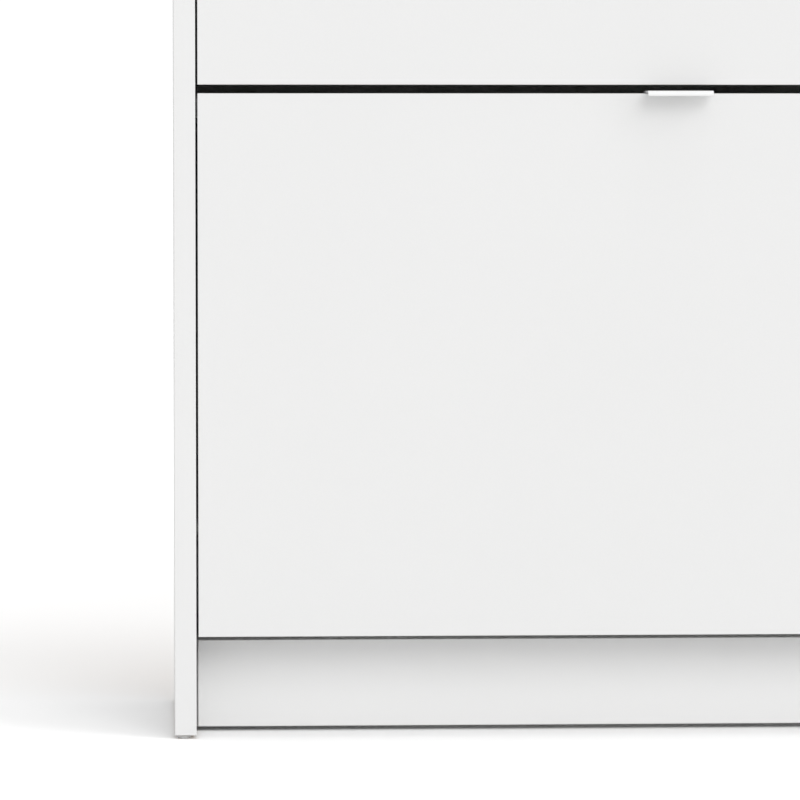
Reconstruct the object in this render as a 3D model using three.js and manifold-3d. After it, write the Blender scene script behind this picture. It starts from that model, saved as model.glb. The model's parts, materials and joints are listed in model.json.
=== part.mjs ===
// Tall, shallow shoe cabinet with two tilting doors, one above the other.
// Millimetres. X runs to the right, Y to the back, Z up. The origin is on the floor, in the middle of
// the whole outline, handles included. Each door carries a two-row shoe rack and tilts about two
// bushes near its lower edge, until the ends of an arc slot in the rack meet a fixed peg.
import * as THREE from "three";
import { mergeVertices } from "three/addons/utils/BufferGeometryUtils.js";
import Module from "manifold-3d";

const wasm = await Module();
wasm.setup();

// Carcase
const WIDTH = 700;
const DEPTH = 240;
const BOARD = 15;
const THIN_BOARD = 3;
const TOUCH_GAP = 0.3; // left between pieces that touch
const GLIDE_HEIGHT = 2.5;
const PLINTH_LIFT = 3.2; // lower edge of the plinth above the floor
const PLINTH_TOP = 64.5;
const PLINTH_RECESS = 45;
const PLINTH_END_GAP = 1.4;
const PLINTH_GROOVE_DEPTH = 4; // shallow groove between the plinth's face and each side panel
const RAIL_DEPTH = 60;
const RAIL_NOTCH = { beside: 8, depth: 9 }; // room for the handle's back leg
const RAIL_SET_BACK = 18; // front of the rails behind the front of the doors
const REAR_RAIL_HEIGHT = 65;
const BACK_PANEL_INSET = 3;

// Doors
const DOOR_HEIGHT = 377.1;
const DOOR_SIDE_GAP = 1.5;
const LOWER_DOOR_BOTTOM = 71.2;
const ROW_GAP = 6;
const RAIL_BELOW_DOOR_TOP = 2.3;
const PIVOT_BEHIND_FRONT = 22;
const PIVOT_ABOVE_DOOR_BOTTOM = 75;
const OPEN_ANGLE = THREE.MathUtils.degToRad(50);

// Handle, a bent strip over the top edge of the door
const HANDLE_WIDTH = 45.5;
const HANDLE_REACH = 18;
const HANDLE_SHEET = 1.5;
const HANDLE_LIP = 3.75;
const HANDLE_BACK_LEG = 20;
const HANDLE_BEND = 1.2;
const HANDLE_SCREW_SPREAD = 14;
const HANDLE_SCREW_DROP = 11;

// Rack, in a frame with its origin at the pivot
const RACK_PLATE_INNER = 325; // distance of the plate's inner face from the middle of the cabinet
const RACK_PLATE = 3;
const RACK_RIM = 3;
const RACK_RIM_DEPTH = 2.5;
const RACK_CHANNEL_DEPTH = 6;
const RACK_CHANNEL_WALL = 2;
const RACK_FLANGE_WIDTH = 20;
const RACK_FLANGE_FOOT = -64;
const RACK_FLANGE_TOP = 254;
const RACK_BOSS_RADIUS = 10;
const RACK_BOSS_OUTER = 331.5;
const RACK_LEAN = THREE.MathUtils.degToRad(60); // rise of the dividers above the shelves
const RACK_SCREW_X = 314;
const RACK_SCREW_HEIGHTS = { low: -25, high: 215 };
const SHELVES = {
  front_shelf: { y: -3.4, z: 105, rise: 0, length: 78.4 },
  front_divider: { y: 78.5, z: 104, rise: RACK_LEAN, length: 134 },
  rear_shelf: { y: -3.4, z: -55, rise: 0, length: 98.4 },
  rear_divider: { y: 98.5, z: -56, rise: RACK_LEAN, length: 190 },
};
const RACK_WINDOWS = [
  { y: 48, z: 166, turn: 75, length: 66, width: 42 },
  { y: 112, z: 20, turn: 60, length: 76, width: 36 },
  { y: 135, z: 135, turn: 60, length: 70, width: 40 },
];
const WINDOW_CORNER = 9;

// Pivot bushes and stop pegs
const PIVOT_RADIUS = 4;
const PIVOT_CLEARANCE = 0.2;
const BUSH_FLANGE_RADIUS = 6.4;
const BUSH_FLANGE = 3;
const BUSH_PLUG_RADIUS = 5;
const PLUG_DEPTH = 11;
const PIN_END = 322.5; // distance of the pins' free ends from the middle of the cabinet
const PEG_ORBIT = 62;
const PEG_ANGLE = THREE.MathUtils.degToRad(60);
const PEG_RADIUS = 4;
const PEG_SLOT_CLEARANCE = 0.4;
const PEG_FLANGE_RADIUS = 8;
const PEG_FLANGE = 4;
const PEG_PLUG_RADIUS = 2.5;

// Small fittings
const GLIDE_RADIUS = 5;
const GLIDE_CENTRE_IN = 6.2; // from the outer face of the side panel
const GLIDE_INSETS = { front: 7, rear: 16 };
const GLIDE_PLUG = { radius: 2, length: 10 };
const RACK_SCREW = { head: 3.75, headHeight: 2, shank: 1.7, length: 14.5 };
const HANDLE_SCREW = { head: 3.25, headHeight: 1.8, shank: 1.5, length: 11 };
const BRACKET_SCREW = { head: 4, headHeight: 1.8, shank: 1.75, length: 12 };
const SCREW_SLOT = 0.9;
const BUMPER = { radius: 4.5, x: 300, belowTop: 8 };
const BRACKET = { x: 250, width: 20, height: 37, reach: 30, sheet: 1.5, wallHole: 3, holeInset: 12 };
const ROUND_SEGMENTS = 16;
const CURVE_SEGMENTS = 6;

// Worked out from the above
const FRONT = -(DEPTH - HANDLE_REACH) / 2;
const BACK = FRONT + DEPTH;
const PANEL_BACK = BACK - THIN_BOARD - TOUCH_GAP;
const INNER = WIDTH / 2 - BOARD;
const BETWEEN_PANELS = INNER - TOUCH_GAP;
const DOOR_PITCH = DOOR_HEIGHT + ROW_GAP;
const TOP_UNDERSIDE = LOWER_DOOR_BOTTOM + 2 * DOOR_PITCH;
const UNDER_TOP = TOP_UNDERSIDE - TOUCH_GAP;
const HEIGHT = TOP_UNDERSIDE + BOARD;
const DOOR_HALF = INNER - DOOR_SIDE_GAP;
const PIVOT_Y = FRONT + PIVOT_BEHIND_FRONT;
const DOOR_FACE = -PIVOT_BEHIND_FRONT;
const DOOR_BACK = DOOR_FACE + BOARD;
const DOOR_TOP = DOOR_HEIGHT - PIVOT_ABOVE_DOOR_BOTTOM;
const RAIL_FRONT = FRONT + RAIL_SET_BACK;
const RAIL_TOP_OF_LOWER_DOOR = LOWER_DOOR_BOTTOM + DOOR_HEIGHT - RAIL_BELOW_DOOR_TOP;
const ROWS = {
  lower: LOWER_DOOR_BOTTOM + PIVOT_ABOVE_DOOR_BOTTOM,
  upper: LOWER_DOOR_BOTTOM + DOOR_PITCH + PIVOT_ABOVE_DOOR_BOTTOM,
};
const PEG = { y: PEG_ORBIT * Math.cos(PEG_ANGLE), z: PEG_ORBIT * Math.sin(PEG_ANGLE) };

const melamine = new THREE.MeshStandardMaterial({ color: 0xf2f2f1, roughness: 0.45, metalness: 0 });
const hardboard = new THREE.MeshStandardMaterial({ color: 0xe9e8e4, roughness: 0.6, metalness: 0 });
const whitePlastic = new THREE.MeshStandardMaterial({ color: 0xe6e6e4, roughness: 0.5, metalness: 0 });
const greyPlastic = new THREE.MeshStandardMaterial({ color: 0xb4b5b6, roughness: 0.55, metalness: 0 });
const clearRubber = new THREE.MeshStandardMaterial({ color: 0xd4d6d6, roughness: 0.35, metalness: 0 });
const whiteMetal = new THREE.MeshStandardMaterial({ color: 0xf4f4f4, roughness: 0.35, metalness: 0.1 });
const zinc = new THREE.MeshStandardMaterial({ color: 0xa9adb0, roughness: 0.35, metalness: 0.9 });

// ---- Geometry helpers ----

function solidOf(geometry) {
  const bare = geometry.clone();
  bare.deleteAttribute("normal");
  bare.deleteAttribute("uv");
  const merged = mergeVertices(bare);
  const vertProperties = merged.attributes.position.array;
  const triVerts = new Uint32Array(merged.index.array);
  return new wasm.Manifold(new wasm.Mesh({ numProp: 3, vertProperties, triVerts }));
}

function geometryOf(solid) {
  const mesh = solid.getMesh();
  const geometry = new THREE.BufferGeometry();
  geometry.setAttribute("position", new THREE.BufferAttribute(mesh.vertProperties, 3));
  geometry.setIndex(new THREE.BufferAttribute(mesh.triVerts, 1));
  const flat = geometry.toNonIndexed();
  flat.computeVertexNormals();
  return flat;
}

// All the pieces joined, less all the cutters.
function carve(pieces, cutters) {
  let solid = solidOf(pieces[0]);
  for (const piece of pieces.slice(1)) {
    solid = solid.add(solidOf(piece));
  }
  for (const cutter of cutters) {
    solid = solid.subtract(solidOf(cutter));
  }
  return geometryOf(solid);
}

function block(x0, x1, y0, y1, z0, z1) {
  const geometry = new THREE.BoxGeometry(x1 - x0, y1 - y0, z1 - z0);
  return geometry.translate((x0 + x1) / 2, (y0 + y1) / 2, (z0 + z1) / 2);
}

// A round bar along "x", "y" or "z" from one value to the other, through the given centre.
function rod(axis, radius, from, to, centre) {
  const geometry = new THREE.CylinderGeometry(radius, radius, to - from, ROUND_SEGMENTS);
  if (axis === "x") {
    geometry.rotateZ(-Math.PI / 2);
  }
  if (axis === "z") {
    geometry.rotateX(Math.PI / 2);
  }
  const place = { x: 0, y: 0, z: 0, ...centre };
  place[axis] = (from + to) / 2;
  return geometry.translate(place.x, place.y, place.z);
}

// A solid of revolution about Y from [radius, y] pairs that start and end on the axis.
function turned(profile) {
  const points = profile.map(([radius, y]) => new THREE.Vector2(radius, y));
  return new THREE.LatheGeometry(points, ROUND_SEGMENTS);
}

// Extrudes an outline drawn in Y and Z along X.
function extrudeAlongX(shape, x0, x1) {
  const settings = { depth: x1 - x0, bevelEnabled: false, curveSegments: CURVE_SEGMENTS };
  const geometry = new THREE.ExtrudeGeometry(shape, settings);
  const upright = new THREE.Matrix4().set(0, 0, 1, x0, 1, 0, 0, 0, 0, 1, 0, 0, 0, 0, 0, 1);
  return geometry.applyMatrix4(upright);
}

// The closed outline's points moved inwards. The outline runs anticlockwise.
function insetPoints(points, distance) {
  const count = points.length;
  return points.map((point, i) => {
    const before = points[(i + count - 1) % count];
    const after = points[(i + 1) % count];
    const inwardsBefore = inwards(before, point);
    const inwardsAfter = inwards(point, after);
    const both = inwardsBefore.clone().add(inwardsAfter);
    return point.clone().add(both.multiplyScalar(distance / (1 + inwardsBefore.dot(inwardsAfter))));
  });
}

function inwards(from, to) {
  const along = to.clone().sub(from).normalize();
  return new THREE.Vector2(-along.y, along.x);
}

function add(group, name, geometry, material) {
  const mesh = new THREE.Mesh(geometry, material);
  mesh.name = name;
  group.add(mesh);
  return mesh;
}

// Builds the same right-hand pieces twice, the second time mirrored to the left.
function bothHands(parent, build) {
  for (const side of ["right", "left"]) {
    const hand = new THREE.Group();
    hand.scale.x = side === "left" ? -1 : 1;
    build(hand, side);
    parent.add(hand);
  }
}

// ---- Carcase ----

function sidePanel() {
  const blank = block(INNER, WIDTH / 2, FRONT, PANEL_BACK, GLIDE_HEIGHT, UNDER_TOP);
  const holes = [];
  for (const z of Object.values(ROWS)) {
    const deep = INNER + PLUG_DEPTH + TOUCH_GAP;
    const pivot = { y: PIVOT_Y, z };
    const peg = { y: PIVOT_Y + PEG.y, z: z + PEG.z };
    holes.push(rod("x", BUSH_PLUG_RADIUS + TOUCH_GAP, INNER - 1, deep, pivot));
    holes.push(rod("x", PEG_PLUG_RADIUS + TOUCH_GAP, INNER - 1, deep, peg));
  }
  for (const y of glidePlaces()) {
    const top = GLIDE_HEIGHT + GLIDE_PLUG.length + TOUCH_GAP;
    holes.push(rod("z", GLIDE_PLUG.radius + TOUCH_GAP, 0, top, { x: WIDTH / 2 - GLIDE_CENTRE_IN, y }));
  }
  return carve([blank], holes);
}

function glidePlaces() {
  return [FRONT + GLIDE_INSETS.front, BACK - GLIDE_INSETS.rear];
}

function topPanel() {
  const blank = block(-WIDTH / 2, WIDTH / 2, FRONT, BACK, TOP_UNDERSIDE, HEIGHT);
  const top = UNDER_TOP + BRACKET_SCREW.length + TOUCH_GAP;
  const radius = BRACKET_SCREW.shank + TOUCH_GAP;
  const pilots = [-1, 1].map((side) =>
    rod("z", radius, TOP_UNDERSIDE - 1, top, { x: side * BRACKET.x, y: bracketScrewY() }),
  );
  return carve([blank], pilots);
}

function bottomPanel() {
  const front = FRONT + PLINTH_RECESS + BOARD + TOUCH_GAP;
  return block(-BETWEEN_PANELS, BETWEEN_PANELS, front, PANEL_BACK, PLINTH_TOP - BOARD, PLINTH_TOP);
}

function plinth() {
  const half = INNER - PLINTH_END_GAP;
  const face = FRONT + PLINTH_RECESS;
  const back = face + BOARD;
  const front = block(-half, half, face, back, PLINTH_LIFT, PLINTH_TOP);
  const groove = face + PLINTH_GROOVE_DEPTH;
  const core = block(-BETWEEN_PANELS, BETWEEN_PANELS, groove, back, PLINTH_LIFT, PLINTH_TOP);
  return carve([front, core], []);
}

// A rail across the front that the door's bumpers rest on, notched to clear the handle's back leg.
function frontRail(top) {
  const under = top - BOARD;
  const back = RAIL_FRONT + RAIL_DEPTH;
  const blank = block(-BETWEEN_PANELS, BETWEEN_PANELS, RAIL_FRONT, back, under, top);
  const notchHalf = HANDLE_WIDTH / 2 + RAIL_NOTCH.beside;
  const notchBack = RAIL_FRONT + RAIL_NOTCH.depth;
  const notch = block(-notchHalf, notchHalf, RAIL_FRONT - 1, notchBack, under - 1, top + 1);
  return carve([blank], [notch]);
}

function rearRail() {
  const bottom = UNDER_TOP - REAR_RAIL_HEIGHT;
  const blank = block(-BETWEEN_PANELS, BETWEEN_PANELS, PANEL_BACK - BOARD, PANEL_BACK, bottom, UNDER_TOP);
  return carve([blank], wallScrewHoles());
}

function backPanel() {
  const half = WIDTH / 2 - BACK_PANEL_INSET;
  const blank = block(-half, half, BACK - THIN_BOARD, BACK, PLINTH_TOP - BOARD, UNDER_TOP);
  return carve([blank], wallScrewHoles());
}

function wallScrewHoles() {
  const z = UNDER_TOP - BRACKET.height + BRACKET.holeInset;
  return [-1, 1].map((side) =>
    rod("y", BRACKET.wallHole, PANEL_BACK - BOARD - 5, BACK + 1, { x: side * BRACKET.x, z }),
  );
}

function bracketScrewY() {
  return PANEL_BACK - BOARD - BRACKET.reach + BRACKET.holeInset;
}

// An angle of steel sheet: one leg on the rear rail, the other under the top panel.
function wallBracket() {
  const back = PANEL_BACK - BOARD - TOUCH_GAP;
  const left = BRACKET.x - BRACKET.width / 2;
  const right = BRACKET.x + BRACKET.width / 2;
  const upright = block(left, right, back - BRACKET.sheet, back, UNDER_TOP - BRACKET.height, UNDER_TOP);
  const foot = block(left, right, back - BRACKET.reach, back, UNDER_TOP - BRACKET.sheet, UNDER_TOP);
  const screwHole = rod("z", BRACKET_SCREW.shank + TOUCH_GAP, UNDER_TOP - 5, UNDER_TOP + 1, {
    x: BRACKET.x,
    y: bracketScrewY(),
  });
  return carve([upright, foot], [wallScrewHoles()[1], screwHole]);
}

// ---- Small fittings ----

// The bush's flange lies on the side panel, its plug sits in the panel and its pin carries the rack.
function pivotBush() {
  const flangeBack = INNER - TOUCH_GAP;
  const flangeFace = INNER - BUSH_FLANGE;
  const profile = [
    [0, PIN_END],
    [PIVOT_RADIUS - 0.6, PIN_END],
    [PIVOT_RADIUS, PIN_END + 0.6],
    [PIVOT_RADIUS, flangeFace],
    [BUSH_FLANGE_RADIUS - 0.6, flangeFace],
    [BUSH_FLANGE_RADIUS, flangeFace + 0.6],
    [BUSH_FLANGE_RADIUS, flangeBack],
    [BUSH_PLUG_RADIUS, flangeBack],
    [BUSH_PLUG_RADIUS, INNER + PLUG_DEPTH],
    [0, INNER + PLUG_DEPTH],
  ];
  return turned(profile).rotateZ(-Math.PI / 2);
}

function stopPeg() {
  const flangeBack = INNER - TOUCH_GAP;
  const flangeFace = INNER - PEG_FLANGE;
  const profile = [
    [0, PIN_END],
    [PEG_RADIUS - 0.6, PIN_END],
    [PEG_RADIUS, PIN_END + 0.6],
    [PEG_RADIUS, flangeFace],
    [PEG_FLANGE_RADIUS - 0.6, flangeFace],
    [PEG_FLANGE_RADIUS, flangeFace + 0.6],
    [PEG_FLANGE_RADIUS, flangeBack],
    [PEG_PLUG_RADIUS, flangeBack],
    [PEG_PLUG_RADIUS, INNER + PLUG_DEPTH],
    [0, INNER + PLUG_DEPTH],
  ];
  return turned(profile).rotateZ(-Math.PI / 2);
}

// A plastic foot pushed into the lower edge of a side panel.
function glide() {
  const top = GLIDE_HEIGHT - TOUCH_GAP;
  const profile = [
    [0, 0],
    [GLIDE_RADIUS - 2.4, 0],
    [GLIDE_RADIUS - 0.8, top * 0.3],
    [GLIDE_RADIUS, top * 0.75],
    [GLIDE_RADIUS, top],
    [GLIDE_PLUG.radius, top],
    [GLIDE_PLUG.radius, top + GLIDE_PLUG.length],
    [0, top + GLIDE_PLUG.length],
  ];
  return turned(profile).rotateX(Math.PI / 2);
}

// A pan-head screw along Y, its head seated at y = 0 and its point towards -Y.
function screw({ head, headHeight, shank, length }) {
  const body = turned([
    [0, -length],
    [shank, -length + 2 * shank],
    [shank, 0],
    [head, 0],
    [head, headHeight * 0.45],
    [head * 0.7, headHeight],
    [0, headHeight],
  ]);
  const reach = head * 0.55;
  const floor = headHeight * 0.45;
  const half = SCREW_SLOT / 2;
  const cross = [
    block(-reach, reach, floor, headHeight + 1, -half, half),
    block(-half, half, floor, headHeight + 1, -reach, reach),
  ];
  return carve([body], cross);
}

// A soft dome on the back of the door, which meets the rail when the door shuts.
function bumper() {
  const back = DOOR_BACK + TOUCH_GAP;
  const tip = DOOR_FACE + RAIL_SET_BACK - TOUCH_GAP;
  const profile = [
    [0, back],
    [BUMPER.radius, back],
    [BUMPER.radius, back + (tip - back) * 0.45],
    [BUMPER.radius * 0.6, tip],
    [0, tip],
  ];
  return turned(profile);
}

// ---- Door, handle and rack, all in a frame with its origin at the pivot ----

function door() {
  const blank = block(-DOOR_HALF, DOOR_HALF, DOOR_FACE, DOOR_BACK, -PIVOT_ABOVE_DOOR_BOTTOM, DOOR_TOP);
  const pilots = [];
  for (const side of [-1, 1]) {
    for (const z of Object.values(RACK_SCREW_HEIGHTS)) {
      const end = rackScrewSeat() - RACK_SCREW.length - TOUCH_GAP;
      const radius = RACK_SCREW.shank + TOUCH_GAP;
      pilots.push(rod("y", radius, end, DOOR_BACK + 1, { x: side * RACK_SCREW_X, z }));
    }
    const end = handleScrewSeat() - HANDLE_SCREW.length - TOUCH_GAP;
    const place = { x: side * HANDLE_SCREW_SPREAD, z: DOOR_TOP - HANDLE_SCREW_DROP };
    pilots.push(rod("y", HANDLE_SCREW.shank + TOUCH_GAP, end, DOOR_BACK + 1, place));
  }
  return carve([blank], pilots);
}

function rackScrewSeat() {
  return DOOR_BACK + RACK_PLATE + 2 * TOUCH_GAP;
}

function handleScrewSeat() {
  return DOOR_BACK + HANDLE_SHEET + 2 * TOUCH_GAP;
}

// A lip in front, a flat top over the door's edge and a leg down its back.
function handle() {
  const top = DOOR_TOP + TOUCH_GAP + HANDLE_SHEET;
  const under = DOOR_TOP + TOUCH_GAP;
  const lipFace = DOOR_FACE - HANDLE_REACH;
  const lipEnd = top - HANDLE_LIP;
  const legBack = DOOR_BACK + TOUCH_GAP + HANDLE_SHEET;
  const legEnd = DOOR_TOP - HANDLE_BACK_LEG;
  const shape = new THREE.Shape();
  shape.moveTo(lipFace, lipEnd);
  shape.lineTo(lipFace + HANDLE_SHEET, lipEnd);
  shape.lineTo(lipFace + HANDLE_SHEET, under);
  shape.lineTo(legBack - HANDLE_SHEET, under);
  shape.lineTo(legBack - HANDLE_SHEET, legEnd);
  shape.lineTo(legBack, legEnd);
  shape.absarc(legBack - HANDLE_BEND, top - HANDLE_BEND, HANDLE_BEND, 0, Math.PI / 2);
  shape.absarc(lipFace + HANDLE_BEND, top - HANDLE_BEND, HANDLE_BEND, Math.PI / 2, Math.PI);
  const strip = extrudeAlongX(shape, -HANDLE_WIDTH / 2, HANDLE_WIDTH / 2);
  const holes = [-1, 1].map((side) =>
    rod("y", HANDLE_SCREW.shank + TOUCH_GAP, DOOR_BACK - 1, legBack + 1, {
      x: side * HANDLE_SCREW_SPREAD,
      z: DOOR_TOP - HANDLE_SCREW_DROP,
    }),
  );
  return carve([strip], holes);
}

// A shelf or divider of the rack as a slab, made larger all round by grow.
function shelfSlab({ y, z, rise, length }, half, grow) {
  const slab = new THREE.BoxGeometry(2 * half, length + 2 * grow, THIN_BOARD + 2 * grow);
  slab.translate(0, length / 2, 0);
  return slab.rotateX(rise).translate(0, y, z);
}

// The walls that hold the end of a shelf, before the slot for the shelf is cut out.
function channelBlank({ y, z, rise, length }) {
  const thickness = THIN_BOARD + 2 * (TOUCH_GAP + RACK_CHANNEL_WALL);
  const blank = new THREE.BoxGeometry(RACK_CHANNEL_DEPTH + 1, length + RACK_CHANNEL_WALL, thickness);
  blank.translate(0, length / 2, 0);
  blank.rotateX(rise);
  return blank.translate(RACK_PLATE_INNER - (RACK_CHANNEL_DEPTH - 1) / 2, y, z);
}

// The fan-shaped outline of the rack's side: up the rear divider, over the front one, down the door.
function rackOutline() {
  const doorSide = DOOR_BACK + TOUCH_GAP;
  const shape = new THREE.Shape();
  shape.moveTo(doorSide, -64);
  shape.lineTo(92, -64);
  shape.quadraticCurveTo(103, -64, 108.5, -54.5);
  shape.lineTo(197.5, 99.5);
  shape.quadraticCurveTo(203, 109, 199.4, 118.3);
  shape.lineTo(158.6, 220.7);
  shape.quadraticCurveTo(155, 230, 145.5, 227);
  shape.quadraticCurveTo(70, 204, doorSide, 256);
  return shape;
}

function rackWindow({ y, z, turn, length, width }) {
  const shape = new THREE.Shape();
  const u = length / 2 - WINDOW_CORNER;
  const v = width / 2 - WINDOW_CORNER;
  shape.absarc(u, v, WINDOW_CORNER, 0, Math.PI / 2);
  shape.absarc(-u, v, WINDOW_CORNER, Math.PI / 2, Math.PI);
  shape.absarc(-u, -v, WINDOW_CORNER, Math.PI, Math.PI * 1.5);
  shape.absarc(u, -v, WINDOW_CORNER, Math.PI * 1.5, Math.PI * 2);
  const opening = extrudeAlongX(shape, RACK_PLATE_INNER - 1, RACK_PLATE_INNER + RACK_PLATE + 1);
  return opening.rotateX(THREE.MathUtils.degToRad(turn)).translate(0, y, z);
}

// The arc that the fixed peg runs along while the door tilts.
function pegSlot() {
  const wide = PEG_RADIUS + PEG_SLOT_CLEARANCE;
  const spare = PEG_SLOT_CLEARANCE / PEG_ORBIT;
  const start = PEG_ANGLE - OPEN_ANGLE - spare / 2;
  const end = PEG_ANGLE + spare / 2;
  const at = (angle) => [PEG_ORBIT * Math.cos(angle), PEG_ORBIT * Math.sin(angle)];
  const shape = new THREE.Shape();
  shape.absarc(0, 0, PEG_ORBIT + wide, start, end);
  shape.absarc(...at(end), wide, end, end + Math.PI);
  shape.absarc(0, 0, PEG_ORBIT - wide, end, start, true);
  shape.absarc(...at(start), wide, start + Math.PI, start + Math.PI * 2);
  return extrudeAlongX(shape, RACK_PLATE_INNER - RACK_RIM_DEPTH - 1, RACK_PLATE_INNER + RACK_PLATE + 1);
}

// The moulded side of the rack: plate, rim, channels for the shelves, flange on the door and boss.
function rackSide() {
  const outline = rackOutline();
  const edge = outline.getPoints(CURVE_SEGMENTS);
  const rim = new THREE.Shape(edge);
  rim.holes.push(new THREE.Path(insetPoints(edge.slice(0, -1), RACK_RIM)));
  const doorSide = DOOR_BACK + TOUCH_GAP;
  const outer = RACK_PLATE_INNER + RACK_PLATE;
  const flangeInner = RACK_PLATE_INNER - RACK_FLANGE_WIDTH;
  const flangeBack = doorSide + RACK_PLATE;
  const screwRadius = RACK_SCREW.shank + TOUCH_GAP;
  const pieces = [
    extrudeAlongX(outline, RACK_PLATE_INNER, outer),
    extrudeAlongX(rim, RACK_PLATE_INNER - RACK_RIM_DEPTH, RACK_PLATE_INNER + 1),
    block(flangeInner, RACK_PLATE_INNER + 1, doorSide, flangeBack, RACK_FLANGE_FOOT, RACK_FLANGE_TOP),
    rod("x", RACK_BOSS_RADIUS, PIN_END, RACK_BOSS_OUTER, {}),
    ...Object.values(SHELVES).map(channelBlank),
  ];
  const cutters = [
    rod("x", PIVOT_RADIUS + PIVOT_CLEARANCE, PIN_END - 1, RACK_BOSS_OUTER + 1, {}),
    block(PIN_END - 1, INNER, doorSide - RACK_BOSS_RADIUS, doorSide, -RACK_BOSS_RADIUS, RACK_BOSS_RADIUS),
    pegSlot(),
    ...RACK_WINDOWS.map(rackWindow),
    ...Object.values(SHELVES).map((shelf) => shelfSlab(shelf, RACK_PLATE_INNER, TOUCH_GAP)),
    ...Object.values(RACK_SCREW_HEIGHTS).map((z) =>
      rod("y", screwRadius, doorSide - 1, flangeBack + 1, { x: RACK_SCREW_X, z }),
    ),
  ];
  return carve(pieces, cutters);
}

// ---- Assembly ----

function addCarcase(cabinet) {
  add(cabinet, "top_panel", topPanel(), melamine);
  add(cabinet, "bottom_panel", bottomPanel(), melamine);
  add(cabinet, "plinth", plinth(), melamine);
  add(cabinet, "middle_rail", frontRail(RAIL_TOP_OF_LOWER_DOOR), melamine);
  add(cabinet, "top_front_rail", frontRail(UNDER_TOP), melamine);
  add(cabinet, "top_rear_rail", rearRail(), melamine);
  add(cabinet, "back_panel", backPanel(), hardboard);
  bothHands(cabinet, (hand, side) => {
    add(hand, `side_panel_${side}`, sidePanel(), melamine);
    addFittings(hand, side);
  });
}

function addFittings(hand, side) {
  for (const [row, z] of Object.entries(ROWS)) {
    const bush = add(hand, `pivot_bush_${row}_${side}`, pivotBush(), whitePlastic);
    bush.position.set(0, PIVOT_Y, z);
    const peg = add(hand, `stop_peg_${row}_${side}`, stopPeg(), whitePlastic);
    peg.position.set(0, PIVOT_Y + PEG.y, z + PEG.z);
  }
  const [front, rear] = glidePlaces();
  const centre = WIDTH / 2 - GLIDE_CENTRE_IN;
  add(hand, `glide_front_${side}`, glide(), greyPlastic).position.set(centre, front, 0);
  add(hand, `glide_rear_${side}`, glide(), greyPlastic).position.set(centre, rear, 0);
  add(hand, `wall_bracket_${side}`, wallBracket(), zinc);
  const bracketScrew = add(hand, `wall_bracket_screw_${side}`, screw(BRACKET_SCREW), zinc);
  bracketScrew.position.set(BRACKET.x, bracketScrewY(), UNDER_TOP - BRACKET.sheet - TOUCH_GAP);
  bracketScrew.rotation.x = -Math.PI / 2;
}

function addFlap(cabinet, row, pivotZ) {
  const flap = new THREE.Group();
  flap.position.set(0, PIVOT_Y, pivotZ);
  cabinet.add(flap);
  add(flap, `${row}_door`, door(), melamine);
  add(flap, `${row}_handle`, handle(), whiteMetal);
  for (const [name, shelf] of Object.entries(SHELVES)) {
    add(flap, `${row}_${name}`, shelfSlab(shelf, RACK_PLATE_INNER - TOUCH_GAP, 0), hardboard);
  }
  bothHands(flap, (hand, side) => {
    add(hand, `${row}_rack_side_${side}`, rackSide(), whitePlastic);
    for (const [level, z] of Object.entries(RACK_SCREW_HEIGHTS)) {
      const rackScrew = add(hand, `${row}_rack_screw_${level}_${side}`, screw(RACK_SCREW), zinc);
      rackScrew.position.set(RACK_SCREW_X, rackScrewSeat(), z);
    }
    const handleScrew = add(hand, `${row}_handle_screw_${side}`, screw(HANDLE_SCREW), zinc);
    handleScrew.position.set(HANDLE_SCREW_SPREAD, handleScrewSeat(), DOOR_TOP - HANDLE_SCREW_DROP);
    const stop = add(hand, `${row}_bumper_${side}`, bumper(), clearRubber);
    stop.position.set(BUMPER.x, 0, DOOR_TOP - BUMPER.belowTop);
  });
}

const cabinet = new THREE.Group();
addCarcase(cabinet);
for (const [row, pivotZ] of Object.entries(ROWS)) {
  addFlap(cabinet, row, pivotZ);
}

export default cabinet;
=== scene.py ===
import json
import math

import bmesh
import bpy
from mathutils import Matrix, Vector


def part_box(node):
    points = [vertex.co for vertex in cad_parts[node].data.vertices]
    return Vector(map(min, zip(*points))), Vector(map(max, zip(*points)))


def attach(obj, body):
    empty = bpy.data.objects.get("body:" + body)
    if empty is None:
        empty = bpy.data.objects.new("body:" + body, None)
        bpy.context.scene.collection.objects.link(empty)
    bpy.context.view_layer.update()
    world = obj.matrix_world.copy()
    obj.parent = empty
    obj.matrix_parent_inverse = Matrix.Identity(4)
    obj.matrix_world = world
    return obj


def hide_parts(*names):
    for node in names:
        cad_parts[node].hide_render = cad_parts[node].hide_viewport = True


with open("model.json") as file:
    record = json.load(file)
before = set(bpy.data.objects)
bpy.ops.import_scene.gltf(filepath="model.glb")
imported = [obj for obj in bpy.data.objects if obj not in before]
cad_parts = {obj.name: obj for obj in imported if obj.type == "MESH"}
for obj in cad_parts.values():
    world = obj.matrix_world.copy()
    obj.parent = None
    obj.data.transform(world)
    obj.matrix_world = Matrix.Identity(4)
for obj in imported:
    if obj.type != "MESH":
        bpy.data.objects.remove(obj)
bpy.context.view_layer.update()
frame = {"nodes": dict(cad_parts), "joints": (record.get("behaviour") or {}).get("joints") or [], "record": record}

# The looks of a tilt-door shoe cabinet. Metres; X to the right, Y to the back, Z up.
# Every piece stands where its CAD node is. Sizes given in millimetres are multiplied by MM.

MM = 0.001
ROWS = ("lower", "upper")
SIDES = ("left", "right")

# Camera: place and aim in metres, focal length in millimetres
CAMERA_PLACE = (-0.3578, -3.5346, 0.4265)
CAMERA_AIM = (-0.1934, -0.1110, 0.2358)
CAMERA_LENS = 222.5

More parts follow.
